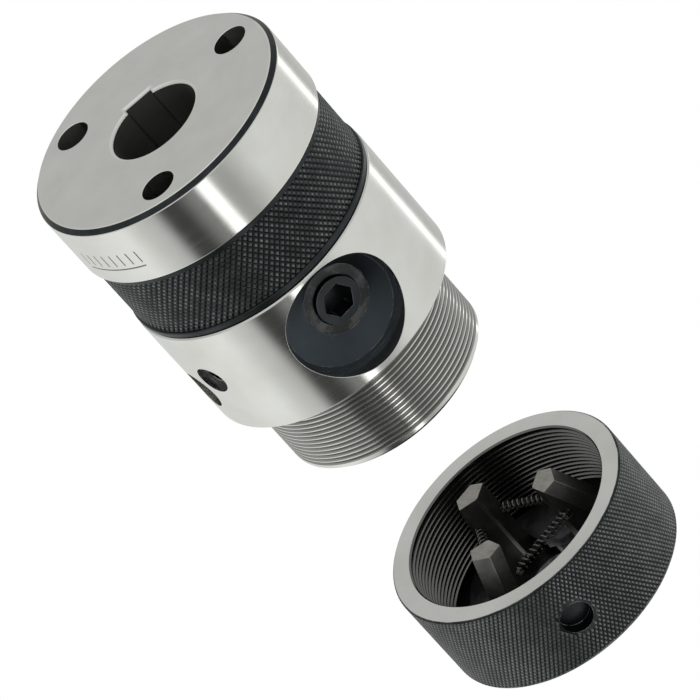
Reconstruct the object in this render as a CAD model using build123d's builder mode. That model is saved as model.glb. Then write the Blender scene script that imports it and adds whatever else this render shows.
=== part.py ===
"""Key-operated drill chuck with a screw-on nose cap, shown with the cap drawn off along the axis.

Millimetres. +Z points to the machine spindle, the origin is the centre of the mounting face, and the
nose points down. The key window is in the -Y side.
"""
import os
from math import cos, pi, radians, sin, tan

from build123d import *

# drive flange and spindle bore
FLANGE_R = 36.9
FLANGE_BOTTOM = -19.5
FACE_CHAMFER = 1.4
BORE_R = 12.5
BORE_DEPTH = 28.0
KEYWAY_WIDTH = 8.0
KEYWAY_DEPTH = 1.4
KEYWAY_AZ = 82.0
HUB_R = 32.0
SPIGOT_R = 21.9
SPIGOT_BOTTOM = -42.4
SCREW_PCR = 28.0
SCREW_AZ = 3.5
COUNTERBORE_R = 4.7
HEAD_SEAT = -17.5
SCREW_END = -45.9
SCREW_HEAD_R = 4.25
SCREW_HEAD_T = 5.0
SCREW_SHANK_R = 2.5
SCREW_HEX_AF = 4.0
DOWEL_R = 2.0
DOWEL_HALF = 6.0
EDGE_BREAK = 0.4
RUNNING_GAP = 0.6

# knurled ring
RING_BOTTOM = -41.9
RING_TOP_R = 36.0
RING_KNURL_R = 35.8
RING_LIP_R = 36.3

# chuck body and its nose thread
BODY_R = 36.5
BODY_BOTTOM = -78.1
BODY_CHAMFER = 1.1
UNDERCUT_R = 28.6
UNDERCUT_BOTTOM = -80.5
THREAD_R = 29.8
THREAD_PITCH = 1.5
THREAD_DEPTH = 0.9
THREAD_FLAT = 0.15
THREAD_LEAD_IN = 1.3
NOSE_BOTTOM = -103.25
CAVITY_R = 22.0
NOSE_BORE_R = 24.88
NOSE_BORE_TOP = -69.0
SPANNER_AZ = -176.5
SPANNER_Z = -65.0
SPANNER_R = 6.0
SPANNER_DEPTH = 8.0

# key window and pinion
PINION_Z = -59.2
PINION_AZ = -86.0
WINDOW_AZ = -90.0
WINDOW_R = 16.35
POCKET_FLOOR = 25.3
DISH_RIM_R = 15.2
DISH_RIM_AT = 30.0
DISH_FLOOR_AT = 25.9
BOSS_R = 10.3
BOSS_END = 22.3
JOURNAL_R = 9.1
SNAP_AT = 25.1
HUB_FACE_R = 6.3
HUB_FACE_AT = 27.0
HEX_AF = 8.0
HEX_DEPTH = 5.5
NECK_R = 6.8
JOURNAL_START = 22.7
SNAP_T = 0.7
FIT = 0.01
CROWN_TEETH = 36
PINION_TEETH = 12
TOOTH_IN = 15.3
TOOTH_OUT = 21.0

# crown nut and thrust bearing
CROWN_TOP = -46.5
CROWN_R = 21.3
CROWN_HUB_R = 14.4
CROWN_HUB_BOTTOM = -55.8
NUT_BORE_R = 12.98
WASHER_T = 0.8
WASHER_IN = 14.3
WASHER_OUT = 20.8
CAGE_IN = 15.2
CAGE_OUT = 19.8
CAGE_T = 1.0
BALL_R = 1.22
BALL_PCR = 17.5
BALL_COUNT = 18

# closing sleeve
STEM_R = 12.9
STEM_TOP = -29.0
SLEEVE_BORE_R = 8.3
LAND_R = 24.8
LAND_TOP = -72.3
SLEEVE_BOTTOM = -78.5
RAMP_ANGLE = 25.0
RAMP_GAP = 0.35
GUIDE_AZ = -159.2
GUIDE_Z = -58.2
GUIDE_SCREW_R = 4.45
GUIDE_SCREW_FACE = 34.3
GUIDE_SCREW_SEAT = 25.0
GUIDE_HEX_AF = 5.0
GUIDE_HEX_FLOOR = 29.3
DOG_R = 2.0
DOG_END = 11.6
SLEEVE_TRAVEL = 19.0

# nose cap, drawn off by CAP_TRAVEL
CAP_TRAVEL = 81.4
CAP_R = 35.9
CAP_RIM = -159.5
CAP_BOTTOM = -188.4
CAP_FLOOR = -184.9
CAP_BORE_R = 30.15
CAP_HOLE_AZ = -101.9
CAP_HOLE_Z = -174.5
CAP_HOLE_R = 4.65
NOSE_HOLE_R = 14.98
CAP_HOLE_DEPTH = 4.2
NOSE_RECESS_R = 17.6
NOSE_RECESS_DEPTH = 1.4

# jaws and jaw guide
JAW_AZ = 98.5
JAW_TOP = CAP_RIM + 2.9
JAW_HALF = 4.85
JAW_NOSE_R = 10.8
JAW_TIP_R = 17.2
JAW_BACK_R = 24.3
JAW_LAND = 0.8
JAW_SHOULDER_R = 13.5
JAW_BACK_HALF = 2.85
FOOT_HALF = 6.0
FOOT_IN = 13.0
FOOT_TOP = -181.9
FOOT_BOTTOM = -184.4
GUIDE_R = 24.5
GUIDE_TOP = -179.3
GUIDE_BOTTOM = -184.82
TOOL_HOLE_R = 7.5
SPRING_Z = -166.5
SPRING_AT = 13.0
SPRING_R = 1.3
SPRING_WIRE = 0.28
SPRING_POCKET = 3.5
SPRING_TURNS = 15

os.makedirs("parts", exist_ok=True)


def radial_plane(azimuth, distance, height):
    """Plane facing outwards, DISTANCE from the axis, with local y upwards."""
    out = (cos(radians(azimuth)), sin(radians(azimuth)), 0)
    along = (-out[1], out[0], 0)
    return Plane(origin=(distance * out[0], distance * out[1], height), x_dir=along, z_dir=out)


def level_plane(azimuth, height):
    """Horizontal plane with local x pointing outwards along a radius."""
    out = (cos(radians(azimuth)), sin(radians(azimuth)), 0)
    return Plane(origin=(0, 0, height), x_dir=out, z_dir=(0, 0, 1))


def turn(profile, mode=Mode.ADD):
    """Revolve a closed (radius, height) profile about the chuck axis."""
    with BuildSketch(Plane.XZ, mode=Mode.PRIVATE) as outline:
        with BuildLine():
            Polyline(*profile, close=True)
        make_face()
    revolve(outline.sketch, axis=Axis.Z, mode=mode)


def tube(inner, outer, low, high, mode=Mode.ADD):
    """Ring between two radii and two heights."""
    turn([(inner, low), (outer, low), (outer, high), (inner, high)], mode)


def radial_bar(azimuth, height, radius, near, far, mode):
    """Cylinder lying along a radius, between two distances from the axis."""
    with BuildSketch(radial_plane(azimuth, near, height), mode=Mode.PRIVATE) as disc:
        Circle(radius)
    extrude(disc.sketch, amount=far - near, mode=mode)


def axial_bar(azimuth, pitch_radius, radius, low, high, mode):
    """Cylinder parallel to the axis, centred on a pitch circle."""
    x = pitch_radius * cos(radians(azimuth))
    y = pitch_radius * sin(radians(azimuth))
    with BuildSketch(Plane.XY.offset(low), mode=Mode.PRIVATE) as disc:
        with Locations((x, y)):
            Circle(radius)
    extrude(disc.sketch, amount=high - low, mode=mode)


def groove_profile(crest, top, bottom, depth):
    """V grooves of the nose thread as one toothed profile, from top to bottom."""
    count = int((top - bottom) / THREAD_PITCH)
    points = []
    for k in range(count):
        z = top - k * THREAD_PITCH
        points.append((crest, z - THREAD_FLAT))
        points.append((crest + depth, z - THREAD_PITCH / 2))
        points.append((crest, z - THREAD_PITCH + THREAD_FLAT))
    return points


def drive_flange():
    with BuildPart() as drive_flange:
        turn([
            (0, 0), (FLANGE_R - FACE_CHAMFER, 0), (FLANGE_R, -FACE_CHAMFER),
            (FLANGE_R, FLANGE_BOTTOM + EDGE_BREAK),
            (FLANGE_R - EDGE_BREAK, FLANGE_BOTTOM), (HUB_R, FLANGE_BOTTOM), (HUB_R, RING_BOTTOM),
            (SPIGOT_R, RING_BOTTOM), (SPIGOT_R, SPIGOT_BOTTOM), (0, SPIGOT_BOTTOM),
        ])
        turn([
            (0, 0), (BORE_R, 0), (BORE_R, -BORE_DEPTH), (STEM_R + RUNNING_GAP, -BORE_DEPTH),
            (STEM_R + RUNNING_GAP, SPIGOT_BOTTOM), (0, SPIGOT_BOTTOM),
        ], Mode.SUBTRACT)
        reach = BORE_R + KEYWAY_DEPTH
        with BuildSketch(Plane.XY):
            with Locations(Rot(Z=KEYWAY_AZ) * Location((reach / 2, 0))):
                Rectangle(reach, KEYWAY_WIDTH)
        extrude(amount=-BORE_DEPTH, mode=Mode.SUBTRACT)
        for k in range(3):
            azimuth = SCREW_AZ + 120 * k
            axial_bar(azimuth, SCREW_PCR, COUNTERBORE_R, HEAD_SEAT, 0, Mode.SUBTRACT)
            axial_bar(azimuth, SCREW_PCR, SCREW_SHANK_R + 0.25, RING_BOTTOM, HEAD_SEAT, Mode.SUBTRACT)
        for azimuth in (SCREW_AZ + 60, SCREW_AZ + 180):
            axial_bar(azimuth, SCREW_PCR, DOWEL_R, RING_BOTTOM, RING_BOTTOM + DOWEL_HALF, Mode.SUBTRACT)
    drive_flange.part.label = "drive_flange"
    export_step(drive_flange.part, "parts/drive_flange.step")


def knurled_ring():
    top, low = FLANGE_BOTTOM, RING_BOTTOM
    with BuildPart() as knurled_ring:
        turn([
            (HUB_R, top), (RING_TOP_R - 0.5, top), (RING_TOP_R, top - 0.5), (RING_TOP_R, top - 1.6),
            (RING_KNURL_R, top - 1.8), (RING_KNURL_R, low + 2.2), (RING_LIP_R, low + 1.7),
            (RING_LIP_R, low + 0.6), (RING_LIP_R - 0.6, low), (HUB_R, low),
        ])
    knurled_ring.part.label = "knurled_ring"
    export_step(knurled_ring.part, "parts/knurled_ring.step")


def chuck_body():
    with BuildPart() as chuck_body:
        turn([
            (CAVITY_R, RING_BOTTOM), (BODY_R - EDGE_BREAK, RING_BOTTOM), (BODY_R, RING_BOTTOM - EDGE_BREAK),
            (BODY_R, BODY_BOTTOM + BODY_CHAMFER), (BODY_R - BODY_CHAMFER, BODY_BOTTOM),
            (UNDERCUT_R, BODY_BOTTOM), (UNDERCUT_R, UNDERCUT_BOTTOM), (THREAD_R, UNDERCUT_BOTTOM - 0.9),
            *groove_profile(THREAD_R, UNDERCUT_BOTTOM - 1.0, NOSE_BOTTOM + 1.2, -THREAD_DEPTH),
            (THREAD_R, NOSE_BOTTOM + THREAD_LEAD_IN), (THREAD_R - THREAD_LEAD_IN, NOSE_BOTTOM),
            (NOSE_BORE_R + 0.5, NOSE_BOTTOM),
            (NOSE_BORE_R, NOSE_BOTTOM + 0.5), (NOSE_BORE_R, NOSE_BORE_TOP), (CAVITY_R, NOSE_BORE_TOP),
        ])
        radial_bar(WINDOW_AZ, PINION_Z, WINDOW_R, POCKET_FLOOR, BODY_R + 2, Mode.SUBTRACT)
        radial_bar(PINION_AZ, PINION_Z, BOSS_R + FIT, CAVITY_R - 4, POCKET_FLOOR + 2, Mode.SUBTRACT)
        radial_bar(GUIDE_AZ, GUIDE_Z, GUIDE_SCREW_R + FIT, CAVITY_R - 4, BODY_R + 2, Mode.SUBTRACT)
        radial_bar(SPANNER_AZ, SPANNER_Z, SPANNER_R, BODY_R - SPANNER_DEPTH, BODY_R + 2, Mode.SUBTRACT)
        for k in range(3):
            azimuth = SCREW_AZ + 120 * k
            axial_bar(azimuth, SCREW_PCR, SCREW_SHANK_R + FIT, SCREW_END - 0.2, RING_BOTTOM, Mode.SUBTRACT)
        for azimuth in (SCREW_AZ + 60, SCREW_AZ + 180):
            axial_bar(azimuth, SCREW_PCR, DOWEL_R, RING_BOTTOM - DOWEL_HALF, RING_BOTTOM, Mode.SUBTRACT)
    chuck_body.part.label = "chuck_body"
    export_step(chuck_body.part, "parts/chuck_body.step")


def flange_screws():
    with BuildPart() as flange_screws:
        for k in range(3):
            azimuth = SCREW_AZ + 120 * k
            axial_bar(azimuth, SCREW_PCR, SCREW_HEAD_R, HEAD_SEAT, HEAD_SEAT + SCREW_HEAD_T, Mode.ADD)
            axial_bar(azimuth, SCREW_PCR, SCREW_SHANK_R, SCREW_END, HEAD_SEAT, Mode.ADD)
            x = SCREW_PCR * cos(radians(azimuth))
            y = SCREW_PCR * sin(radians(azimuth))
            with BuildSketch(Plane.XY.offset(HEAD_SEAT + SCREW_HEAD_T / 2)):
                with Locations((x, y)):
                    RegularPolygon(SCREW_HEX_AF / 2, 6, major_radius=False)
            extrude(amount=SCREW_HEAD_T, mode=Mode.SUBTRACT)
    flange_screws.part.label = "flange_screws"
    export_step(flange_screws.part, "parts/flange_screws.step")


def dowel_pins():
    with BuildPart() as dowel_pins:
        for azimuth in (SCREW_AZ + 60, SCREW_AZ + 180):
            half = DOWEL_HALF - 0.2
            axial_bar(azimuth, SCREW_PCR, DOWEL_R, RING_BOTTOM - half, RING_BOTTOM + half, Mode.ADD)
    dowel_pins.part.label = "dowel_pins"
    export_step(dowel_pins.part, "parts/dowel_pins.step")


def guide_screw():
    """Dog-point set screw that runs in the slot of the closing sleeve."""
    with BuildPart() as guide_screw:
        radial_bar(GUIDE_AZ, GUIDE_Z, GUIDE_SCREW_R, GUIDE_SCREW_SEAT, GUIDE_SCREW_FACE, Mode.ADD)
        radial_bar(GUIDE_AZ, GUIDE_Z, DOG_R, DOG_END, GUIDE_SCREW_SEAT, Mode.ADD)
        with BuildSketch(radial_plane(GUIDE_AZ, GUIDE_HEX_FLOOR, GUIDE_Z)):
            RegularPolygon(GUIDE_HEX_AF / 2, 6, major_radius=False)
        extrude(amount=GUIDE_SCREW_FACE - GUIDE_HEX_FLOOR + 1, mode=Mode.SUBTRACT)
    guide_screw.part.label = "guide_screw"
    export_step(guide_screw.part, "parts/guide_screw.step")


def pinion_bush():
    """Dished bush that closes the key window and carries the pinion journal."""
    with BuildPart() as pinion_bush:
        radial_bar(WINDOW_AZ, PINION_Z, WINDOW_R - FIT, POCKET_FLOOR, DISH_RIM_AT, Mode.ADD)
        radial_bar(PINION_AZ, PINION_Z, BOSS_R, BOSS_END, POCKET_FLOOR + 0.8, Mode.ADD)
        with BuildSketch(radial_plane(WINDOW_AZ, DISH_RIM_AT, PINION_Z), mode=Mode.PRIVATE) as rim:
            Circle(DISH_RIM_R)
        with BuildSketch(radial_plane(PINION_AZ, DISH_FLOOR_AT, PINION_Z), mode=Mode.PRIVATE) as floor:
            Circle(JOURNAL_R + 0.25)
        loft([floor.sketch, rim.sketch], ruled=True, mode=Mode.SUBTRACT)
        radial_bar(PINION_AZ, PINION_Z, JOURNAL_R + 0.05, BOSS_END - 4, DISH_FLOOR_AT + 1, Mode.SUBTRACT)
        radial_bar(PINION_AZ, PINION_Z, JOURNAL_R + 0.5, SNAP_AT, SNAP_AT + SNAP_T + 0.04, Mode.SUBTRACT)
    pinion_bush.part.label = "pinion_bush"
    export_step(pinion_bush.part, "parts/pinion_bush.step")


def pinion_snap_ring():
    with BuildPart() as pinion_snap_ring:
        radial_bar(PINION_AZ, PINION_Z, JOURNAL_R + 0.48, SNAP_AT + 0.02, SNAP_AT + SNAP_T, Mode.ADD)
        radial_bar(PINION_AZ, PINION_Z, HUB_FACE_R + 0.4, SNAP_AT - 1, SNAP_AT + 1, Mode.SUBTRACT)
    pinion_snap_ring.part.label = "pinion_snap_ring"
    export_step(pinion_snap_ring.part, "parts/pinion_snap_ring.step")


def tooth_outline(distance, root, tip):
    """Half widths and heights of a bevel tooth section, measured from the pitch line."""
    module = distance / 18
    width = 0.205 * pi * module
    lean = tan(radians(20))
    low = -root * module
    high = tip * module
    return [
        (-width - 0.25 * width, low), (width + 0.25 * width, low), (width, 0),
        (width - lean * high, high), (-width + lean * high, high), (-width, 0),
    ]


def drive_pinion():
    with BuildPart() as tooth:
        for distance in (TOOTH_IN, TOOTH_OUT):
            with BuildSketch(radial_plane(PINION_AZ, distance, PINION_Z)):
                outline = tooth_outline(distance, 1.3, 0.75)
                with BuildLine():
                    Polyline(*[(x, y + distance / 3) for x, y in outline], close=True)
                make_face()
        loft(ruled=True)
    axis = Axis((0, 0, PINION_Z), (cos(radians(PINION_AZ)), sin(radians(PINION_AZ)), 0))
    with BuildPart() as drive_pinion:
        with BuildSketch(radial_plane(PINION_AZ, TOOTH_IN, PINION_Z)):
            Circle(TOOTH_IN / 3 - 1.1 * TOOTH_IN / 18)
        with BuildSketch(radial_plane(PINION_AZ, TOOTH_OUT, PINION_Z)):
            Circle(TOOTH_OUT / 3 - 1.1 * TOOTH_OUT / 18)
        loft(ruled=True)
        add([tooth.part.rotate(axis, 360 / PINION_TEETH * k) for k in range(PINION_TEETH)])
        radial_bar(PINION_AZ, PINION_Z, NECK_R, TOOTH_OUT, JOURNAL_START + 0.1, Mode.ADD)
        radial_bar(PINION_AZ, PINION_Z, JOURNAL_R, JOURNAL_START, SNAP_AT - 0.08, Mode.ADD)
        radial_bar(PINION_AZ, PINION_Z, HUB_FACE_R, SNAP_AT - 0.2, HUB_FACE_AT, Mode.ADD)
        with BuildSketch(radial_plane(PINION_AZ, HUB_FACE_AT - HEX_DEPTH, PINION_Z)):
            RegularPolygon(HEX_AF / 2, 6, major_radius=False)
        extrude(amount=HEX_DEPTH + 1, mode=Mode.SUBTRACT)
    drive_pinion.part.label = "drive_pinion"
    export_step(drive_pinion.part, "parts/drive_pinion.step")


def crown_nut():
    phase = PINION_AZ + 180 / CROWN_TEETH
    with BuildPart() as tooth:
        for distance in (TOOTH_IN, TOOTH_OUT):
            with BuildSketch(radial_plane(phase, distance, PINION_Z + distance / 3)):
                with BuildLine():
                    Polyline(*[(x, -y) for x, y in tooth_outline(distance, 1.3, 0.75)], close=True)
                make_face()
        loft(ruled=True)

    def root(distance):
        return PINION_Z + distance / 3 + 1.1 * distance / 18

    with BuildPart() as crown_nut:
        turn([
            (NUT_BORE_R, CROWN_TOP), (CROWN_R, CROWN_TOP), (CROWN_R, root(CROWN_R)),
            (CROWN_HUB_R, root(CROWN_HUB_R)), (CROWN_HUB_R, CROWN_HUB_BOTTOM), (NUT_BORE_R, CROWN_HUB_BOTTOM),
        ])
        add([tooth.part.rotate(Axis.Z, 360 / CROWN_TEETH * k) for k in range(CROWN_TEETH)])
    crown_nut.part.label = "crown_nut"
    export_step(crown_nut.part, "parts/crown_nut.step")


def thrust_washer_upper():
    with BuildPart() as thrust_washer_upper:
        tube(WASHER_IN, WASHER_OUT, SPIGOT_BOTTOM - WASHER_T, SPIGOT_BOTTOM)
    thrust_washer_upper.part.label = "thrust_washer_upper"
    export_step(thrust_washer_upper.part, "parts/thrust_washer_upper.step")


def thrust_washer_lower():
    with BuildPart() as thrust_washer_lower:
        tube(WASHER_IN, WASHER_OUT, CROWN_TOP, CROWN_TOP + WASHER_T)
    thrust_washer_lower.part.label = "thrust_washer_lower"
    export_step(thrust_washer_lower.part, "parts/thrust_washer_lower.step")


def thrust_bearing():
    """Ball row and its flat cage, midway between the two washers."""
    mid = (SPIGOT_BOTTOM + CROWN_TOP) / 2
    with BuildPart() as thrust_balls:
        with Locations((0, 0, mid)):
            with PolarLocations(BALL_PCR, BALL_COUNT):
                Sphere(BALL_R)
    with BuildPart() as bearing_cage:
        tube(CAGE_IN, CAGE_OUT, mid - CAGE_T / 2, mid + CAGE_T / 2)
        for k in range(BALL_COUNT):
            azimuth = 360 / BALL_COUNT * k
            axial_bar(azimuth, BALL_PCR, BALL_R + 0.02, mid - CAGE_T, mid + CAGE_T, Mode.SUBTRACT)
    thrust_balls.part.label = "thrust_balls"
    export_step(thrust_balls.part, "parts/thrust_balls.step")
    bearing_cage.part.label = "bearing_cage"
    export_step(bearing_cage.part, "parts/bearing_cage.step")


def closing_sleeve():
    slope = tan(radians(RAMP_ANGLE))
    home_top = JAW_TOP + CAP_TRAVEL
    mouth = JAW_TIP_R + RAMP_GAP / cos(radians(RAMP_ANGLE)) + (home_top - SLEEVE_BOTTOM) * slope
    ramp_top = SLEEVE_BOTTOM + (mouth - SLEEVE_BORE_R + 1) / slope
    with BuildPart() as closing_sleeve:
        turn([
            (SLEEVE_BORE_R, STEM_TOP), (STEM_R - 0.5, STEM_TOP), (STEM_R, STEM_TOP - 0.5), (STEM_R, -60.0),
            (15.0, -62.5), (15.0, -65.8), (LAND_R, LAND_TOP), (LAND_R, SLEEVE_BOTTOM + 0.4),
            (LAND_R - 0.4, SLEEVE_BOTTOM), (SLEEVE_BORE_R, SLEEVE_BOTTOM),
        ])
        for k in range(3):
            out = radians(JAW_AZ + 120 * k)
            side = Plane(
                origin=(0, 0, 0), x_dir=(cos(out), sin(out), 0), z_dir=(sin(out), -cos(out), 0)
            )
            with BuildSketch(side):
                with BuildLine():
                    Polyline(
                        (0, SLEEVE_BOTTOM), (mouth, SLEEVE_BOTTOM), (SLEEVE_BORE_R - 1, ramp_top),
                        (0, ramp_top), close=True,
                    )
                make_face()
            extrude(amount=JAW_HALF + 0.2, both=True, mode=Mode.SUBTRACT)
        with BuildSketch(radial_plane(GUIDE_AZ, 11.3, 0)):
            with Locations((0, GUIDE_Z + SLEEVE_TRAVEL / 2)):
                SlotOverall(SLEEVE_TRAVEL + 5.4, 4.4, rotation=90)
        extrude(amount=4, mode=Mode.SUBTRACT)
    closing_sleeve.part.label = "closing_sleeve"
    export_step(closing_sleeve.part, "parts/closing_sleeve.step")


def nose_cap():
    with BuildPart() as nose_cap:
        turn([
            (CAP_BORE_R + EDGE_BREAK, CAP_RIM), (CAP_R - EDGE_BREAK, CAP_RIM), (CAP_R, CAP_RIM - EDGE_BREAK),
            (CAP_R, CAP_BOTTOM + 2 * EDGE_BREAK), (CAP_R - 2 * EDGE_BREAK, CAP_BOTTOM),
            (NOSE_RECESS_R, CAP_BOTTOM), (NOSE_RECESS_R, CAP_BOTTOM + NOSE_RECESS_DEPTH),
            (NOSE_HOLE_R, CAP_BOTTOM + NOSE_RECESS_DEPTH), (NOSE_HOLE_R, CAP_FLOOR),
            (CAP_BORE_R, CAP_FLOOR),
            *groove_profile(CAP_BORE_R, CAP_RIM - 1.0, CAP_FLOOR + 2.0, THREAD_DEPTH)[::-1],
            (CAP_BORE_R, CAP_RIM - 0.5),
        ])
        for k in range(3):
            azimuth = CAP_HOLE_AZ + 120 * k
            floor = CAP_R - CAP_HOLE_DEPTH
            radial_bar(azimuth, CAP_HOLE_Z, CAP_HOLE_R, floor, CAP_R + 2, Mode.SUBTRACT)
    nose_cap.part.label = "nose_cap"
    export_step(nose_cap.part, "parts/nose_cap.step")


def jaw_guide():
    with BuildPart() as jaw_guide:
        turn([
            (0, GUIDE_TOP), (GUIDE_R - 0.4, GUIDE_TOP), (GUIDE_R, GUIDE_TOP - 0.4), (GUIDE_R, GUIDE_BOTTOM),
            (NOSE_HOLE_R - 0.08, GUIDE_BOTTOM), (NOSE_HOLE_R - 0.08, CAP_BOTTOM + 0.2), (0, CAP_BOTTOM + 0.2),
        ])
        tube(0, TOOL_HOLE_R, CAP_BOTTOM, GUIDE_TOP, Mode.SUBTRACT)
        tube(NOSE_HOLE_R - 0.8, NOSE_HOLE_R + 1, CAP_BOTTOM + 0.48, CAP_BOTTOM + 1.32, Mode.SUBTRACT)
        for k in range(3):
            azimuth = JAW_AZ + 120 * k
            with BuildSketch(level_plane(azimuth, GUIDE_BOTTOM)):
                with Locations((GUIDE_R / 2 + 1.5, 0)):
                    Rectangle(GUIDE_R + 1, 2 * FOOT_HALF + 0.3)
            extrude(amount=FOOT_TOP + 0.2 - GUIDE_BOTTOM, mode=Mode.SUBTRACT)
            with BuildSketch(level_plane(azimuth, FOOT_TOP)):
                with Locations((GUIDE_R / 2 + 1, 0)):
                    Rectangle(GUIDE_R + 2, 2 * JAW_HALF + 0.3)
            extrude(amount=5, mode=Mode.SUBTRACT)
    jaw_guide.part.label = "jaw_guide"
    export_step(jaw_guide.part, "parts/jaw_guide.step")


def guide_snap_ring():
    with BuildPart() as guide_snap_ring:
        tube(NOSE_HOLE_R - 0.78, 17.3, CAP_BOTTOM + 0.5, CAP_BOTTOM + 1.3)
        with BuildSketch(Plane.XY.offset(CAP_BOTTOM)):
            with Locations(Location((0, -16, 0))):
                Rectangle(5, 6)
        extrude(amount=2, mode=Mode.SUBTRACT)
    guide_snap_ring.part.label = "guide_snap_ring"
    export_step(guide_snap_ring.part, "parts/guide_snap_ring.step")


def jaw(number):
    """One of three wedge-nosed jaws with a ramped back and a T foot."""
    azimuth = JAW_AZ + 120 * (number - 1)
    out = radians(azimuth)
    slope = tan(radians(RAMP_ANGLE))
    flare_end = JAW_TOP - (JAW_BACK_R - JAW_TIP_R) / slope
    wedge = (JAW_HALF - JAW_LAND / 2) / tan(radians(60))
    narrowing = (JAW_HALF - JAW_BACK_HALF) / (JAW_TIP_R - JAW_SHOULDER_R)
    back_corner = [
        (JAW_SHOULDER_R, JAW_HALF), (JAW_TIP_R + 1, JAW_BACK_HALF - narrowing),
        (JAW_TIP_R + 1, JAW_HALF + 1), (JAW_SHOULDER_R, JAW_HALF + 1),
    ]
    side = Plane(origin=(0, 0, 0), x_dir=(cos(out), sin(out), 0), z_dir=(sin(out), -cos(out), 0))
    with BuildPart() as jaw:
        with BuildSketch(side):
            with BuildLine():
                Polyline(
                    (JAW_NOSE_R, JAW_TOP), (JAW_TIP_R, JAW_TOP), (JAW_BACK_R, flare_end),
                    (JAW_BACK_R, FOOT_TOP), (JAW_NOSE_R, FOOT_TOP), close=True,
                )
            make_face()
        extrude(amount=JAW_HALF, both=True)
        for sign in (-1, 1):
            with BuildSketch(level_plane(azimuth, FOOT_TOP)):
                with BuildLine():
                    Polyline(
                        (JAW_NOSE_R - 1, sign * JAW_LAND / 2), (JAW_NOSE_R, sign * JAW_LAND / 2),
                        (JAW_NOSE_R + wedge, sign * JAW_HALF), (JAW_NOSE_R + wedge, sign * (JAW_HALF + 1)),
                        (JAW_NOSE_R - 1, sign * (JAW_HALF + 1)), close=True,
                    )
                make_face()
            extrude(amount=JAW_TOP - FOOT_TOP + 1, dir=(0, 0, 1), mode=Mode.SUBTRACT)
            with BuildSketch(level_plane(azimuth, JAW_TOP)):
                with BuildLine():
                    Polyline(*[(x, sign * y) for x, y in back_corner], close=True)
                make_face()
            down = (slope * cos(out), slope * sin(out), -1)
            extrude(amount=(JAW_TOP - FOOT_TOP) / cos(radians(RAMP_ANGLE)), dir=down, mode=Mode.SUBTRACT)
        with BuildSketch(level_plane(azimuth, FOOT_BOTTOM)):
            with Locations(((FOOT_IN + JAW_BACK_R - 0.3) / 2, 0)):
                Rectangle(JAW_BACK_R - 0.3 - FOOT_IN, 2 * FOOT_HALF)
        extrude(amount=FOOT_TOP - FOOT_BOTTOM)
        for sign in (-1, 1):
            spring_pocket(azimuth + sign * 60, -sign)
    jaw.part.label = "jaw_%d" % number
    export_step(jaw.part, "parts/jaw_%d.step" % number)


def spring_line(azimuth):
    """Distance of a spring from the axis and half its free gap between two jaws."""
    distance = SPRING_AT * cos(radians(60)) + JAW_HALF * sin(radians(60))
    half_gap = SPRING_AT * sin(radians(60)) - JAW_HALF * cos(radians(60))
    return distance, half_gap


def spring_pocket(azimuth, side):
    distance, half_gap = spring_line(azimuth)
    out = radians(azimuth)
    along = (-side * sin(out), side * cos(out), 0)
    start = half_gap - 1.5
    origin = (
        distance * cos(out) + start * along[0], distance * sin(out) + start * along[1], SPRING_Z,
    )
    with BuildSketch(Plane(origin=origin, z_dir=along), mode=Mode.PRIVATE) as mouth:
        Circle(SPRING_R + 0.2)
    extrude(mouth.sketch, amount=SPRING_POCKET + 1.5, mode=Mode.SUBTRACT)


def jaw_spring(number):
    """Small coil spring that pushes two neighbouring jaws apart."""
    azimuth = JAW_AZ + 120 * (number - 1) + 60
    distance, half_gap = spring_line(azimuth)
    out = radians(azimuth)
    length = 2 * (half_gap + SPRING_POCKET - SPRING_WIRE - 0.1)
    start = (
        distance * cos(out) + length / 2 * sin(out), distance * sin(out) - length / 2 * cos(out), SPRING_Z,
    )
    coil = Helix(
        pitch=length / SPRING_TURNS, height=length, radius=SPRING_R - SPRING_WIRE, center=start,
        direction=(-sin(out), cos(out), 0), mode=Mode.PRIVATE,
    )
    with BuildPart() as jaw_spring:
        with BuildSketch(Plane(origin=coil @ 0, z_dir=coil % 0)):
            Circle(SPRING_WIRE)
        sweep(path=coil, is_frenet=True)
    jaw_spring.part.label = "jaw_spring_%d" % number
    export_step(jaw_spring.part, "parts/jaw_spring_%d.step" % number)


drive_flange()
knurled_ring()
chuck_body()
flange_screws()
dowel_pins()
guide_screw()
pinion_bush()
pinion_snap_ring()
drive_pinion()
crown_nut()
thrust_washer_upper()
thrust_washer_lower()
thrust_bearing()
closing_sleeve()
nose_cap()
jaw_guide()
guide_snap_ring()
for n in (1, 2, 3):
    jaw(n)
    jaw_spring(n)
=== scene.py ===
"""Drill chuck with its nose cap drawn off: the looks of its pieces, in metres, in the CAD's frame."""

from math import cos, pi, radians, sin

import bmesh
import bpy
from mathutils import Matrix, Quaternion, Vector


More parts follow.
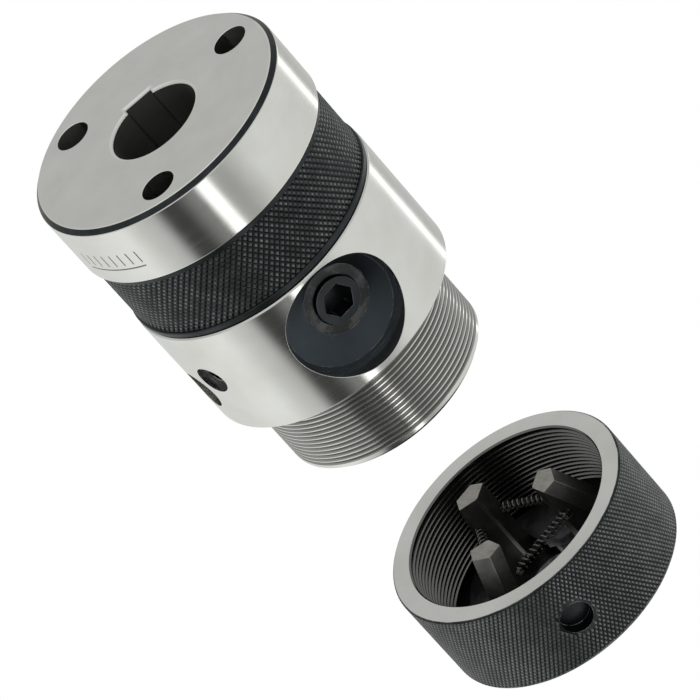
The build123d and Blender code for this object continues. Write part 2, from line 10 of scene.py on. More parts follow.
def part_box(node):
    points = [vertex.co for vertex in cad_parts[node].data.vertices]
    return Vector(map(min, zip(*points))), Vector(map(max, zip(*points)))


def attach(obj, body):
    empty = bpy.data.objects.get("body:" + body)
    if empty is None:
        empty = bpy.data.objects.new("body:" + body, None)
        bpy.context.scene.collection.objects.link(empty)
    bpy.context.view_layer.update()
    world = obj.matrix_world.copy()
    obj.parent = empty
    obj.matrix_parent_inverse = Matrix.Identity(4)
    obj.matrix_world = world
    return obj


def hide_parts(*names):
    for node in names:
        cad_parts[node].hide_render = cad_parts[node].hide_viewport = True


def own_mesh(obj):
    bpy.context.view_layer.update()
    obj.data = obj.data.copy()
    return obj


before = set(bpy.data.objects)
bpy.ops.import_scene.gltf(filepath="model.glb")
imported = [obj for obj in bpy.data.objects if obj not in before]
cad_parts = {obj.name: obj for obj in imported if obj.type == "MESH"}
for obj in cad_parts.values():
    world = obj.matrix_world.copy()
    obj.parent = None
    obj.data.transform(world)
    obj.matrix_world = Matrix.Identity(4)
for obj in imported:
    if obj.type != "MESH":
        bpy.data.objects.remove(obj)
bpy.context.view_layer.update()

MM = 0.001
AXIS = Vector((0, 0, 1))

# places read from the frame
flange_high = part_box("drive_flange")[1]
body_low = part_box("chuck_body")[0]
ring_low, ring_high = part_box("knurled_ring")
cap_low, cap_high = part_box("nose_cap")
bush_low, bush_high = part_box("pinion_bush")
RING_LIP_R = ring_high.x
CAP_R = cap_high.x
BUSH_CENTRE = (bush_low + bush_high) / 2
FLANGE_R = flange_high.x

# flange: its bore, how far the bore's mouth reaches out, and how far the black chamfer reaches in
BORE_R = 12.5 * MM
MOUTH_ROUNDING = 0.9 * MM
MOUTH_REACH = 2 * MM
CHAMFER_REACH = 2 * MM

# knurls
RING_BAND_TOP = ring_high.z - 1.8 * MM
RING_BAND_BOTTOM = ring_low.z + 2.2 * MM
RING_KNURL_R = 35.8 * MM
RING_WALL = 4.2 * MM
RING_STARTS = 126
RING_ROW = 1.18 * MM
CAP_BAND_TOP = cap_high.z - 0.5 * MM
CAP_BAND_BOTTOM = cap_low.z + 0.9 * MM
CAP_STARTS = 170
CAP_ROW = 1.15 * MM
KNURL_DEPTH = 0.42 * MM
HOLE_MARGIN = 0.8 * MM
CREST_SHARE = 0.42
CAP_HOLE_R = 4.65 * MM
CAP_HOLE_Z = cap_high.z - 15.0 * MM
CAP_HOLE_AZ = [radians(-101.9 + 120 * k) for k in range(3)]
RIM_DEPTH = 1 * MM

# threads: the nose thread is below a height, and the cap's is beyond a radius, with its edges sharp
THREAD_TOP = body_low.z + 23.5 * MM
CAP_THREAD_IN = 28.8 * MM
CAP_SHARP_FROM = 29 * MM
CAP_SHARP_TO = 31.5 * MM

# jaws and springs
JAW_AZ = [radians(98.5 + 120 * k) for k in range(3)]
JAW_EDGE = 0.22 * MM

# pinion: its hub is rounded beyond a radius, and its teeth nearer the axis stay sharp
HUB_EDGE = 0.35 * MM
HUB_FROM = 24 * MM

# etched ticks
TICKS_FROM = radians(-170)
TICKS_TO = radians(-139)
TICK_COUNT = 7
TICK_HALF_SHARE = 0.07
TICK_TOP = -9.0 * MM
TICK_FOOT = -13.0 * MM
UNDERLINE_Z = -14.2 * MM
UNDERLINE_HALF = 0.22 * MM

# rounding and cleaning of meshes
EDGE = 0.2 * MM
SHARP = radians(24)
FLAT = radians(0.05)
WELD = 0.002 * MM
NEAR = 0.1 * MM
ROUND_STEPS = 2
WIDE_ROUND_STEPS = 4

# places in a piece's list of materials: plain faces, rounded edges, and a knurl's crests and sides
PLAIN = 0
ON_EDGE = 1
ON_CREST = 2
ON_SIDE = 3

# how a face leans, by the height of its normal, and by its share along the radius
STEEP = 0.3
LEVEL = 0.95
UPWARD = 0.9
INWARD = -0.3
ROUND_WALL = 0.995


# ---- shader building blocks ----------------------------------------------------------------------


def wire(tree, value, socket):
    """Links value into the socket, or sets it there when it is a constant."""
    if isinstance(value, bpy.types.NodeSocket):
        tree.links.new(value, socket)
    else:
        socket.default_value = value


def calc(tree, operation, *values):
    """One step of arithmetic on sockets or constants."""
    node = tree.nodes.new("ShaderNodeMath")
    node.operation = operation
    for value, socket in zip(values, node.inputs):
        wire(tree, value, socket)
    return node.outputs[0]


def remap(tree, value, low, high, to_low=0.0, to_high=1.0, smooth=False):
    """Maps value from one range to another, and keeps it inside the new one."""
    node = tree.nodes.new("ShaderNodeMapRange")
    node.interpolation_type = "SMOOTHSTEP" if smooth else "LINEAR"
    for source, name in (
        (value, "Value"),
        (low, "From Min"),
        (high, "From Max"),
        (to_low, "To Min"),
        (to_high, "To Max"),
    ):
        wire(tree, source, node.inputs[name])
    return node.outputs["Result"]


def noise(tree, vector, scale, detail=2.0):
    """Cloudy noise from 0 to 1, with scale grains to one unit of the vector."""
    node = tree.nodes.new("ShaderNodeTexNoise")
    wire(tree, vector, node.inputs["Vector"])
    node.inputs["Scale"].default_value = scale
    node.inputs["Detail"].default_value = detail
    return node.outputs["Fac"]


def tint(tree, share, first, second):
    """A colour between two, by share."""
    node = tree.nodes.new("ShaderNodeMix")
    node.data_type = "RGBA"
    wire(tree, share, node.inputs["Factor"])
    wire(tree, first, node.inputs[6])
    wire(tree, second, node.inputs[7])
    return node.outputs[2]


def grey(level, warm=0.0):
    """A grey a little warmer (or cooler, below 0) than neutral."""
    return (level * (1 + warm), level, level * (1 - warm), 1)


def join(tree, x, y, z):
    """A vector from three values."""
    node = tree.nodes.new("ShaderNodeCombineXYZ")
    for value, socket in zip((x, y, z), node.inputs):
        wire(tree, value, socket)
    return node.outputs[0]


def turned_space(tree, centre=(0, 0, 0), turn=(0, 0, 0)):
    """Object coordinates for a turned piece: cosine and sine round the axis, and depth along it."""
    place = tree.nodes.new("ShaderNodeTexCoord").outputs["Object"]
    if any(centre) or any(turn):
        mapping = tree.nodes.new("ShaderNodeMapping")
        mapping.vector_type = "TEXTURE"
        mapping.inputs["Location"].default_value = centre
        mapping.inputs["Rotation"].default_value = turn
        wire(tree, place, mapping.inputs["Vector"])
        place = mapping.outputs[0]
    split = tree.nodes.new("ShaderNodeSeparateXYZ")
    wire(tree, place, split.inputs[0])
    x, y, z = split.outputs
    squares = calc(tree, "ADD", calc(tree, "MULTIPLY", x, x), calc(tree, "MULTIPLY", y, y))
    outward = calc(tree, "SQRT", squares)
    around = (calc(tree, "DIVIDE", x, outward), calc(tree, "DIVIDE", y, outward))
    return {"place": place, "x": x, "y": y, "z": z, "outward": outward, "around": around}


def turning_lines(tree, space, pitch, run=1.2):
    """Fine lines left by the tool, which run round the axis on the sides and on the faces alike."""
    depth = calc(tree, "DIVIDE", calc(tree, "ADD", space["z"], space["outward"]), pitch)
    cosine = calc(tree, "MULTIPLY", space["around"][0], run)
    sine = calc(tree, "MULTIPLY", space["around"][1], run)
    return noise(tree, join(tree, cosine, sine, depth), 1.0, 3.0)


def metal(name):
    """A bare metal material: its node tree and its shader."""
    material = bpy.data.materials.new(name)
    material.use_nodes = True
    tree = material.node_tree
    shader = tree.nodes["Principled BSDF"]
    shader.inputs["Metallic"].default_value = 1.0
    return material, tree, shader


def relief(tree, shader, height, depth):
    """Fine relief in the shading, depth deep where height goes from 0 to 1."""
    bump = tree.nodes.new("ShaderNodeBump")
    bump.inputs["Strength"].default_value = 1.0
    bump.inputs["Distance"].default_value = depth
    wire(tree, height, bump.inputs["Height"])
    wire(tree, bump.outputs["Normal"], shader.inputs["Normal"])


def lay_grain(tree, shader, amount):
    """Stretches highlights across the turning lines of a piece turned on the Z axis."""
    tangent = tree.nodes.new("ShaderNodeTangent")
    tangent.direction_type = "RADIAL"
    tangent.axis = "Z"
    wire(tree, tangent.outputs[0], shader.inputs["Tangent"])
    shader.inputs["Anisotropic"].default_value = amount
    shader.inputs["Anisotropic Rotation"].default_value = 0.25


# ---- materials -----------------------------------------------------------------------------------


def ground_steel(name, level=0.62, etched=False, rough=0.13):
    """Bright turned and ground steel: fine lines round the axis, faint stains and rubbed patches."""
    material, tree, shader = metal(name)
    space = turned_space(tree)
    lines = turning_lines(tree, space, 0.16 * MM)
    bands = turning_lines(tree, space, 1.4 * MM, 0.5)
    stains = noise(tree, space["place"], 90.0, 4.0)
    shade = calc(tree, "ADD", calc(tree, "MULTIPLY", lines, 0.25), calc(tree, "MULTIPLY", stains, 0.75))
    colour = tint(tree, remap(tree, shade, 0.3, 0.7), grey(level * 0.93, 0.02), grey(level * 1.05, 0.005))
    lined = remap(tree, lines, 0.25, 0.75, rough, rough + 0.07)
    spread = calc(tree, "ADD", lined, calc(tree, "MULTIPLY", bands, 0.05))
    height = lines
    if etched:
        mark = etched_ticks(tree, space)
        colour = tint(tree, mark, colour, grey(0.16))
        spread = calc(tree, "ADD", spread, calc(tree, "MULTIPLY", mark, 0.25))
        height = calc(tree, "SUBTRACT", lines, calc(tree, "MULTIPLY", mark, 6.0))
    wire(tree, colour, shader.inputs["Base Color"])
    wire(tree, spread, shader.inputs["Roughness"])
    relief(tree, shader, height, 0.004 * MM)
    lay_grain(tree, shader, 0.55)
    return material


def etched_ticks(tree, space):
    """A plain row of etched ticks with a line under it, where a real chuck has its range marked."""
    azimuth = calc(tree, "ARCTAN2", space["y"], space["x"])
    share = calc(tree, "DIVIDE", calc(tree, "SUBTRACT", azimuth, TICKS_FROM), TICKS_TO - TICKS_FROM)
    along = calc(tree, "PINGPONG", calc(tree, "MULTIPLY", share, TICK_COUNT), 0.5)
    tick = calc(tree, "LESS_THAN", along, TICK_HALF_SHARE)
    begun = calc(tree, "GREATER_THAN", share, -0.01)
    inside = calc(tree, "MULTIPLY", begun, calc(tree, "LESS_THAN", share, 1.01))
    high = calc(tree, "LESS_THAN", space["z"], TICK_TOP)
    low = calc(tree, "GREATER_THAN", space["z"], TICK_FOOT)
    ticks = calc(tree, "MULTIPLY", calc(tree, "MULTIPLY", tick, inside), calc(tree, "MULTIPLY", high, low))
    under = calc(tree, "COMPARE", space["z"], UNDERLINE_Z, UNDERLINE_HALF)
    return calc(tree, "MAXIMUM", ticks, calc(tree, "MULTIPLY", under, inside))


def black_oxide(
    name, level=0.035, rough=0.34, wear=0.0, cloudy=1.0, cool=0.1, centre=(0, 0, 0), turn=(0, 0, 0)
):
    """Blackened steel: satin and bluish, over turning lines, and bright where its edges have rubbed."""
    material, tree, shader = metal(name)
    space = turned_space(tree, centre, turn)
    lines = turning_lines(tree, space, 0.22 * MM)
    cloud = noise(tree, space["place"], 220.0, 4.0)
    specks = noise(tree, space["place"], 1500.0, 2.0)
    rubbing = calc(tree, "ADD", cloud, calc(tree, "MULTIPLY", specks, 0.4))
    rubbed = remap(tree, rubbing, 0.62, 0.8, 0.0, wear)
    thick, thin = grey(level * (1 - 0.25 * cloudy), -cool), grey(level * (1 + 0.3 * cloudy), -cool)
    black = tint(tree, remap(tree, cloud, 0.3, 0.7), thick, thin)
    wire(tree, tint(tree, rubbed, black, grey(0.36)), shader.inputs["Base Color"])
    lined = remap(tree, lines, 0.25, 0.75, rough - 0.05, rough + 0.05)
    wire(tree, calc(tree, "ADD", lined, calc(tree, "MULTIPLY", specks, 0.06)), shader.inputs["Roughness"])
    relief(tree, shader, calc(tree, "ADD", lines, calc(tree, "MULTIPLY", specks, 0.6)), 0.006 * MM)
    return material


def jaw_steel(name):
    """Hardened jaw steel, light grey, with the grinding marks of its end face running one way."""
    material, tree, shader = metal(name)
    space = turned_space(tree)
    lean = 0.45
    sideways = calc(tree, "ADD", space["x"], calc(tree, "MULTIPLY", space["y"], lean))
    lengthways = calc(tree, "SUBTRACT", space["y"], calc(tree, "MULTIPLY", space["x"], lean))
    across = calc(tree, "DIVIDE", sideways, 0.22 * MM)
    along = calc(tree, "MULTIPLY", lengthways, 260.0)
    scratches = noise(tree, join(tree, across, along, calc(tree, "MULTIPLY", space["z"], 400.0)), 1.0, 3.0)
    stains = noise(tree, space["place"], 300.0, 3.0)
    share = calc(tree, "ADD", calc(tree, "MULTIPLY", scratches, 0.6), calc(tree, "MULTIPLY", stains, 0.4))
    colour = tint(tree, remap(tree, share, 0.35, 0.65), grey(0.2, 0.04), grey(0.34, 0.06))
    wire(tree, colour, shader.inputs["Base Color"])
    wire(tree, remap(tree, scratches, 0.3, 0.7, 0.28, 0.42), shader.inputs["Roughness"])
    relief(tree, shader, scratches, 0.012 * MM)
    return material


def bright_metal(name, colour, rough):
    """Rollers, washers, pins and wire: a clear metal with fine handling marks."""
    material, tree, shader = metal(name)
    space = turned_space(tree)
    marks = noise(tree, space["place"], 2600.0, 4.0)
    stains = noise(tree, space["place"], 240.0, 3.0)
    darker = tuple(part * 0.72 for part in colour[:3]) + (1,)
    wire(tree, tint(tree, remap(tree, stains, 0.3, 0.7), darker, colour), shader.inputs["Base Color"])
    wire(tree, remap(tree, marks, 0.3, 0.7, rough - 0.06, rough + 0.08), shader.inputs["Roughness"])
    relief(tree, shader, marks, 0.003 * MM)
    return material


steel = ground_steel("ground_steel")
marked_steel = ground_steel("ground_steel_marked", etched=True)
worn_steel = ground_steel("ground_steel_edge", 0.7)
# steel for the cap's inner thread, darkened far below the rim's level as painted shade inside the cap
thread_painted_shade_steel = ground_steel("thread_painted_shade_steel", 0.16)
# darker steel for the flanks of the nose thread: painted shade in its grooves
flank_painted_shade_steel = ground_steel("flank_painted_shade_steel", 0.34)
# rougher steel for the flange's bore, its colour darkened as painted shade in the bore
bore_painted_shade_steel = ground_steel("bore_painted_shade_steel", 0.17, rough=0.4)
oxide = black_oxide("black_oxide")
oxide_edge = black_oxide("black_oxide_edge", 0.05, 0.3, 0.9)
knurl_black = black_oxide("knurl_black", 0.065, 0.38, cloudy=0.5, cool=0.05)
knurl_crest = black_oxide("knurl_crest", 0.08, 0.34, 0.25)
cap_knurl_black = black_oxide("cap_knurl_black", 0.12, 0.38, cloudy=0.5, cool=0.04)
cap_knurl_crest = black_oxide("cap_knurl_crest", 0.16, 0.36, 0.1, cloudy=0.5, cool=0.04)
window = {"centre": tuple(BUSH_CENTRE), "turn": (pi / 2, 0, 0)}
dish_black = black_oxide("dish_black", 0.056, 0.4, cloudy=0.25, cool=0.18, **window)
hub_black = black_oxide("hub_black", 0.041, 0.36, cloudy=0.25, **window)
dish_edge = black_oxide("dish_edge", 0.08, 0.3, 0.9, **window)
jaw_grey = jaw_steel("jaw_steel")
jaw_side = black_oxide("jaw_side", 0.13, 0.36, 0.15, cloudy=0.4, cool=-0.03)
dark_steel = black_oxide("dark_steel", 0.05, 0.35, 0.15, cloudy=0.4, cool=0.04)
bright_steel = bright_metal("bright_steel", grey(0.6), 0.22)
spring_steel = bright_metal("spring_steel", grey(0.16, 0.02), 0.36)
brass = bright_metal("brass", (0.62, 0.43, 0.18, 1), 0.3)


# ---- meshes --------------------------------------------------------------------------------------


def round_over(mesh, wanted, width, segments):
    """Rounds over the sharp edges whose middle is wanted; the new faces are marked as on an edge."""
    mesh.normal_update()
    edges = []
    for edge in mesh.edges:
        middle = (edge.verts[0].co + edge.verts[1].co) / 2
        if len(edge.link_faces) == 2 and edge.calc_face_angle() > SHARP and wanted(middle):
            edges.append(edge)
    made = bmesh.ops.bevel(
        mesh, geom=edges, offset=width, segments=segments, profile=0.5, affect="EDGES", clamp_overlap=True
    )
    for face in made["faces"]:
        face.material_index = ON_EDGE


def rounded(node, width=EDGE, spare=lambda place: False, wide=None, wide_width=0.0):
    """A copy of a CAD node's mesh with its sharp edges rounded over, the wide ones by wide_width."""
    mesh = bmesh.new()
    mesh.from_mesh(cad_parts[node].data)
    bmesh.ops.remove_doubles(mesh, verts=mesh.verts, dist=WELD)
    bmesh.ops.dissolve_limit(mesh, angle_limit=FLAT, verts=mesh.verts, edges=mesh.edges)
    if wide:
        round_over(mesh, wide, wide_width, WIDE_ROUND_STEPS)
    round_over(mesh, lambda place: not spare(place), width, ROUND_STEPS)
    mesh.normal_update()
    return mesh


def surface_normal(face, corner):
    """The face's own normal, or the exact one where it lies on a cylinder round the Z axis."""
    middle = face.calc_center_median()
    radial = Vector((middle.x, middle.y, 0)).normalized()
    facing = radial.dot(face.normal)
    if abs(facing) > ROUND_WALL:
        return Vector((corner.x, corner.y, 0)).normalized() * (1 if facing > 0 else -1)
    return face.normal


def corner_normals(mesh):
    """Flat faces shade flat, cylinders round, and rounded edges run from one into the other."""
    plain = {}
    for vert in mesh.verts:
        plain[vert] = [
            (face, surface_normal(face, vert.co) * face.calc_area())
            for face in vert.link_faces
            if face.material_index != ON_EDGE
        ]
    normals = []
    for face in mesh.faces:
        for vert in face.verts:
            if face.material_index != ON_EDGE:
                near = [n for other, n in plain[vert] if other.normal.dot(face.normal) > cos(SHARP)]
            else:
                near = [n for other, n in plain[vert]]
            total = sum(near, Vector()) if near else vert.normal
            normals.append(total.normalized())
    return normals


def piece(name, mesh, materials, body, replaced):
    """Turns a bmesh into a piece that rides on a body and stands for the CAD nodes replaced."""
    mesh.normal_update()
    mesh.faces.index_update()
    normals = corner_normals(mesh)
    for face in mesh.faces:
        face.smooth = True
    data = bpy.data.meshes.new(name)
    mesh.to_mesh(data)
    mesh.free()
    for material in materials:
        data.materials.append(material)
    data.normals_split_custom_set(normals)
    made = bpy.data.objects.new(name, data)
    bpy.context.scene.collection.objects.link(made)
    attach(made, body)
    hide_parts(*replaced)
    return made


def lathe(mesh, profile, steps=240):
    """Adds a surface of revolution round Z; profile lists (radius, height) from the top down outside."""
    rings = []
    for radius, height in profile:
        ring = []
        for k in range(steps):
            angle = 2 * pi * k / steps
            ring.append(mesh.verts.new((radius * cos(angle), radius * sin(angle), height)))
        rings.append(ring)
    for upper, lower in zip(rings, rings[1:]):
        for k in range(steps):
            after = (k + 1) % steps
            mesh.faces.new((upper[k], lower[k], lower[after], upper[after]))


def pyramid(mesh, low, high):
    """Adds a flat-topped pyramid between its low corners and its high ones."""
    crest = mesh.faces.new(high)
    crest.material_index = ON_CREST
    for k in range(len(low)):
        after = (k + 1) % len(low)
        side = mesh.faces.new((low[k], low[after], high[after], high[k]))
        side.material_index = ON_SIDE


def knurl(mesh, radius, top, bottom, starts, row, spare=lambda place: False):
    """Adds a diamond knurl: a flat-topped pyramid at every crossing of two families of grooves."""
    rows = round((top - bottom) / row)
    step = (top - bottom) / rows
    inner = radius - KNURL_DEPTH
    for j in range(rows + 1):
        for i in range((j + 1) % 2, 2 * starts, 2):
            middle = Vector((radius * cos(pi * i / starts), radius * sin(pi * i / starts), top - step * j))
            if spare(middle):
                continue
            corners = [(i - 1, j), (i, j + 1), (i + 1, j), (i, j - 1)]
            corners = [corner for corner in corners if 0 <= corner[1] <= rows]
            low, high = [], []
            for u, v in corners:
                angle = pi * u / starts
                near = pi * (i + (u - i) * CREST_SHARE) / starts
                level = top - step * v
                near_level = top - step * (j + (v - j) * CREST_SHARE)
                low.append(mesh.verts.new((inner * cos(angle), inner * sin(angle), level)))
                high.append(mesh.verts.new((radius * cos(near), radius * sin(near), near_level)))
            if j == rows:
                low, high = low[1:] + low[:1], high[1:] + high[:1]
            pyramid(mesh, low, high)


def near_cap_hole(place):
    """Whether a place on the cap's knurl is in one of the spanner holes or on its margin."""
    for azimuth in CAP_HOLE_AZ:
        axis = Vector((cos(azimuth), sin(azimuth), 0))
        offset = place - Vector((0, 0, CAP_HOLE_Z))
        depth = offset.dot(axis)
        if depth > 0 and (offset - axis * depth).length < CAP_HOLE_R + HOLE_MARGIN:
            return True
    return False


# ---- pieces --------------------------------------------------------------------------------------


def facing_axis(face):
    """Whether a face is turned towards the Z axis, as a bore's wall is."""
    middle = face.calc_center_median()
    return face.normal.dot(Vector((middle.x, middle.y, 0)).normalized()) < INWARD


def bore_mouth(place):
    """Whether a place is on the top edge of the bore or its keyway."""
    return place.z > flange_high.z - NEAR and place.xy.length < BORE_R + MOUTH_REACH


def make_flange():
    """Bright, but for the blackened chamfer round its top and the wall of its bore, rougher and darkened as
    painted shade in the bore.
    """
    materials = [marked_steel, worn_steel, oxide, bore_painted_shade_steel]
    mesh = rounded("drive_flange", wide=bore_mouth, wide_width=MOUTH_ROUNDING)
    for face in mesh.faces:
        sloping = STEEP < face.normal.z < LEVEL
        outer = face.calc_center_median().xy.length > FLANGE_R - CHAMFER_REACH
        if face.material_index == PLAIN and sloping and outer:
            face.material_index = materials.index(oxide)
        elif face.material_index == PLAIN and facing_axis(face) and not outer:
            face.material_index = materials.index(bore_painted_shade_steel)
    piece("flange_turned", mesh, materials, "housing", ["drive_flange"])


def make_ring():
    """Lips and undercuts turned, with the knurl between them."""
    mesh = bmesh.new()
    outer = RING_LIP_R
    inner = RING_LIP_R - RING_WALL
    core = RING_KNURL_R - KNURL_DEPTH
    top = ring_high.z
    low = ring_low.z
    lathe(
        mesh,
        [
            (inner, top),
            (outer - 0.9 * MM, top),
            (outer - 0.5 * MM, top - 0.1 * MM),
            (outer - 0.3 * MM, top - 0.45 * MM),
            (outer - 0.3 * MM, RING_BAND_TOP + 0.25 * MM),
            (outer - 0.45 * MM, RING_BAND_TOP + 0.1 * MM),
            (core, RING_BAND_TOP),
            (core, RING_BAND_BOTTOM),
            (outer - 0.25 * MM, RING_BAND_BOTTOM - 0.1 * MM),
            (outer, RING_BAND_BOTTOM - 0.35 * MM),
            (outer, low + 0.65 * MM),
            (outer - 0.12 * MM, low + 0.5 * MM),
            (outer - 0.6 * MM, low),
            (inner, low),
        ],
    )
    knurl(mesh, RING_KNURL_R, RING_BAND_TOP, RING_BAND_BOTTOM, RING_STARTS, RING_ROW)
    piece(
        "ring_knurled",
        mesh,
        [oxide, oxide_edge, knurl_crest, knurl_black],
        "housing",
        ["knurled_ring"],
    )


def make_body():
    """Bright, with the flanks of the nose thread painted darker than its crests, as painted shade in the
    thread's grooves.
    """
    materials = [steel, worn_steel, flank_painted_shade_steel]
    mesh = rounded("chuck_body", spare=lambda place: place.z < THREAD_TOP)
    for face in mesh.faces:
        flank = STEEP < abs(face.normal.z) < LEVEL and not facing_axis(face)
        if face.material_index == PLAIN and flank and face.calc_center_median().z < THREAD_TOP:
            face.material_index = materials.index(flank_painted_shade_steel)
    piece("body_turned", mesh, materials, "housing", ["chuck_body"])


def make_window():
    """The dished bush in the key window, and the pinion whose hub stands in it."""
    piece(
        "bush_dished",
        rounded("pinion_bush"),
        [dish_black, dish_edge],
        "housing",
        ["pinion_bush"],
    )
    piece(
        "pinion_hub",
        rounded("drive_pinion", HUB_EDGE, lambda place: place.xy.length < HUB_FROM),
        [hub_black, dish_edge],
        "pinion",
        ["drive_pinion"],
    )


def make_guide_screw():
    """The screw in the body's side, whose dog point runs in a slot of the closing sleeve."""
    piece(
        "guide_screw_rounded",
        rounded("guide_screw"),
        [oxide, oxide_edge],
        "housing",
        ["guide_screw"],
    )


def make_cap():
    """The CAD cap drawn in by the depth of the knurl and knurled, its rim left bright and its thread in a
    darkened steel, painted shade inside the cap.
    """
    materials = [oxide, oxide_edge, cap_knurl_crest, cap_knurl_black, steel, thread_painted_shade_steel]
    mesh = rounded("nose_cap", spare=lambda place: CAP_SHARP_FROM < place.xy.length < CAP_SHARP_TO)
    for face in mesh.faces:
        middle = face.calc_center_median()
        rim = face.normal.z > UPWARD and middle.z > cap_high.z - RIM_DEPTH
        threaded = facing_axis(face) and middle.xy.length > CAP_THREAD_IN
        if face.material_index == PLAIN and rim:
            face.material_index = materials.index(steel)
        elif face.material_index == PLAIN and threaded:
            face.material_index = materials.index(thread_painted_shade_steel)
    core = CAP_R - KNURL_DEPTH
    for vert in mesh.verts:
        out = vert.co.xy.length
        inside_band = CAP_BAND_BOTTOM - NEAR < vert.co.z < CAP_BAND_TOP + NEAR
        if out > core and inside_band:
            vert.co.xy *= core / out
    band = bmesh.new()
    knurl(band, CAP_R, CAP_BAND_TOP, CAP_BAND_BOTTOM, CAP_STARTS, CAP_ROW, near_cap_hole)
    data = bpy.data.meshes.new("band")
    band.to_mesh(data)
    band.free()
    mesh.from_mesh(data)
    bpy.data.meshes.remove(data)
    piece("cap_knurled", mesh, materials, "cap", ["nose_cap"])


def make_jaw(number):
    """A jaw with its upper end ground light and its sides darker."""
    node = f"jaw_{number}"
    materials = [jaw_grey, jaw_grey, jaw_side]
    mesh = rounded(node, JAW_EDGE)
    for face in mesh.faces:
        if face.material_index == PLAIN and face.normal.z < UPWARD:
            face.material_index = materials.index(jaw_side)
    piece(f"{node}_ground", mesh, materials, node, [node])


def make_spring(number):
    """The spring beside a jaw: it rides on the jaw."""
    node = f"jaw_spring_{number}"
    mesh = bmesh.new()
    mesh.from_mesh(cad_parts[node].data)
    made = piece(f"spring_{number}_coiled", mesh, [spring_steel], f"jaw_{number}", [node])
    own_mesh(made)


def finish_inner_pieces():
    """The CAD nodes that stay as they are take their finish."""
    for node, material in INNER_FINISHES.items():
        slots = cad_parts[node].material_slots
        if not slots:
            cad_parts[node].data.materials.append(material)
        for slot in slots:
            slot.material = material


make_flange()
make_ring()
make_body()
make_window()
make_guide_screw()
make_cap()
for number, jaw_azimuth in enumerate(JAW_AZ, start=1):
    make_jaw(number)
    make_spring(number)

INNER_FINISHES = {
    "flange_screws": oxide,
    "dowel_pins": bright_steel,
    "pinion_snap_ring": dark_steel,
    "crown_nut": dark_steel,
    "thrust_washer_upper": bright_steel,
    "thrust_washer_lower": bright_steel,
    "thrust_balls": bright_steel,
    "bearing_cage": brass,
    "closing_sleeve": dark_steel,
    "jaw_guide": dark_steel,
    "guide_snap_ring": dark_steel,
}
finish_inner_pieces()


# ---- floor, light and camera ---------------------------------------------------------------------

CAMERA_AZ = radians(-96)
CAMERA_EL = radians(32)
CAMERA_ROLL = radians(-41.7)
CAMERA_DISTANCE = 1.4117
CAMERA_TARGET = Vector((-5.44, -37.88, -65.09)) * MM
LENS = 291.0

FLOOR_SIZE = 6.0
FLOOR_Z = -0.45

LIGHT_COLOUR = (0.98, 1, 0.955, 1)
BRIGHTEST = 4.0

# light by direction round the object: degrees from the camera's side, anticlockwise from above, and level
LIGHT_AROUND = [
    (-180, 0.72),
    (-100, 1.1),
    (-82, 1.15),
    (-74, 1.0),
    (-66, 0.85),
    (-52, 0.68),
    (-43, 0.05),
    (-30, 0.05),
    (-17, 0.3),
    (-13, 0.1),
    (-10.5, 0.05),
    (-9.5, 2.2),
    (0, 2.2),
    (1.5, 0.5),
    (14, 0.5),
    (38, 0.96),
    (60, 0.98),
    (120, 0.88),
    (124, 1.1),
    (126, 2.4),
    (131, 2.4),
    (134, 0.6),
    (180, 0.7),
]

# light by height elsewhere: degrees above the horizon, and level
LIGHT_UPWARD = [(-90, 0.35), (-60, 0.5), (-20, 0.6), (0, 0.64), (20, 0.66), (40, 0.7), (90, 1.0)]

# heights in degrees between which the light round the object fades in, at its top and at its foot
FADE_TOP = (-4, -14)
FADE_FOOT = (-75, -60)


def make_floor():
    """A plain white floor, seen by the camera only and clear from below."""
    bpy.ops.mesh.primitive_plane_add(size=FLOOR_SIZE, location=(0, 0, FLOOR_Z))
    floor = bpy.context.object
    floor.name = "floor"
    floor.visible_glossy = False
    floor.visible_diffuse = False
    floor.visible_shadow = False
    material = bpy.data.materials.new("floor_white")
    material.use_nodes = True
    tree = material.node_tree
    tree.nodes.clear()
    white = tree.nodes.new("ShaderNodeEmission")
    clear = tree.nodes.new("ShaderNodeBsdfTransparent")
    behind = tree.nodes.new("ShaderNodeNewGeometry").outputs["Backfacing"]
    mix = tree.nodes.new("ShaderNodeMixShader")
    output = tree.nodes.new("ShaderNodeOutputMaterial")
    wire(tree, behind, mix.inputs[0])
    wire(tree, white.outputs[0], mix.inputs[1])
    wire(tree, clear.outputs[0], mix.inputs[2])
    wire(tree, mix.outputs[0], output.inputs["Surface"])
    floor.data.materials.append(material)


def ramp(tree, value, stops):
    """A level read along stops of (place 0 to 1, level), for levels up to the brightest."""
    node = tree.nodes.new("ShaderNodeValToRGB")
    node.color_ramp.interpolation = "LINEAR"
    wire(tree, value, node.inputs[0])
    elements = node.color_ramp.elements
    while len(elements) > 1:
        elements.remove(elements[-1])
    for k, (place, level) in enumerate(stops):
        element = elements[0] if k == 0 else elements.new(place)
        element.position = place
        element.color = grey(level / BRIGHTEST)
    return calc(tree, "MULTIPLY", node.outputs[0], BRIGHTEST)


def fade(tree, z, between):
    """0 to 1 between two heights in degrees, by the height of the direction."""
    start, end = between
    return remap(tree, z, sin(radians(start)), sin(radians(end)), smooth=True)


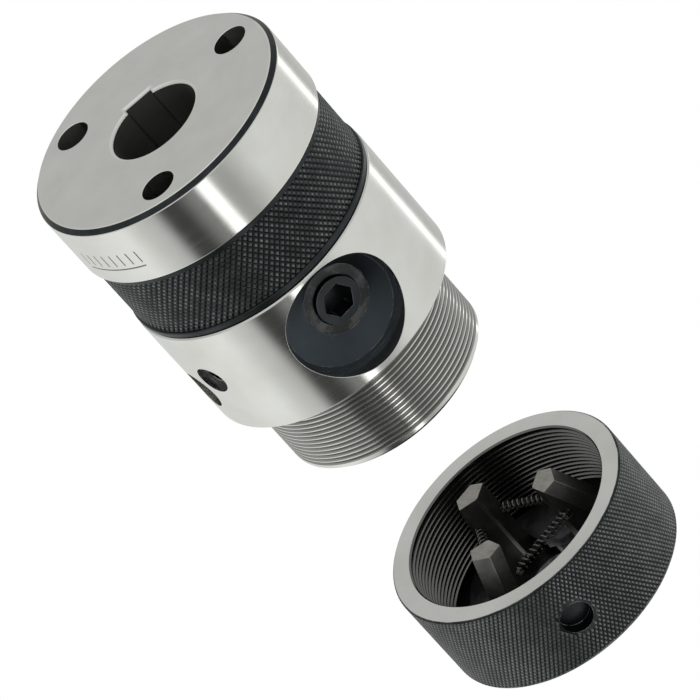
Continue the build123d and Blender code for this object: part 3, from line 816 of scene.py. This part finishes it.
def make_studio():
    """A white room for the camera; round the object soft boxes with a dark gap, which the metal mirrors."""
    world = bpy.data.worlds.new("studio")
    world.use_nodes = True
    bpy.context.scene.world = world
    tree = world.node_tree
    tree.nodes.clear()
    direction = tree.nodes.new("ShaderNodeTexCoord").outputs["Generated"]
    split = tree.nodes.new("ShaderNodeSeparateXYZ")
    wire(tree, direction, split.inputs[0])
    x, y, z = split.outputs
    azimuth = calc(tree, "ARCTAN2", y, x)
    turned = calc(tree, "DIVIDE", calc(tree, "SUBTRACT", azimuth, CAMERA_AZ - pi), 2 * pi)
    share = calc(tree, "FRACT", turned)
    low_levels = ramp(tree, share, [((angle + 180) / 360, level) for angle, level in LIGHT_AROUND])
    raised = calc(tree, "DIVIDE", calc(tree, "ADD", calc(tree, "ARCSINE", z), pi / 2), pi)
    high_levels = ramp(tree, raised, [((angle + 90) / 180, level) for angle, level in LIGHT_UPWARD])
    banded = calc(tree, "MULTIPLY", fade(tree, z, FADE_TOP), fade(tree, z, FADE_FOOT))
    plain = calc(tree, "MULTIPLY", high_levels, calc(tree, "SUBTRACT", 1.0, banded))
    level = calc(tree, "ADD", calc(tree, "MULTIPLY", low_levels, banded), plain)
    seen = tree.nodes.new("ShaderNodeLightPath").outputs["Is Camera Ray"]
    light = tree.nodes.new("ShaderNodeBackground")
    light.inputs["Color"].default_value = LIGHT_COLOUR
    wire(tree, level, light.inputs["Strength"])
    white = tree.nodes.new("ShaderNodeBackground")
    white.inputs["Color"].default_value = (1, 1, 1, 1)
    mix = tree.nodes.new("ShaderNodeMixShader")
    output = tree.nodes.new("ShaderNodeOutputWorld")
    wire(tree, seen, mix.inputs[0])
    wire(tree, light.outputs[0], mix.inputs[1])
    wire(tree, white.outputs[0], mix.inputs[2])
    wire(tree, mix.outputs[0], output.inputs["Surface"])


def make_camera():
    """A long lens from above on the key window's side, rolled so that the chuck lies aslant."""
    data = bpy.data.cameras.new("camera")
    data.sensor_width = 36.0
    data.lens = LENS
    data.clip_start, data.clip_end = 0.05, 20.0
    camera = bpy.data.objects.new("camera", data)
    bpy.context.scene.collection.objects.link(camera)
    back = Vector((cos(CAMERA_AZ) * cos(CAMERA_EL), sin(CAMERA_AZ) * cos(CAMERA_EL), sin(CAMERA_EL)))
    camera.location = CAMERA_TARGET + back * CAMERA_DISTANCE
    camera.rotation_mode = "QUATERNION"
    camera.rotation_quaternion = back.to_track_quat("Z", "Y") @ Quaternion(AXIS, CAMERA_ROLL)
    bpy.context.scene.camera = camera


make_floor()
make_studio()
make_camera()
bpy.context.scene.view_settings.view_transform = "Standard"
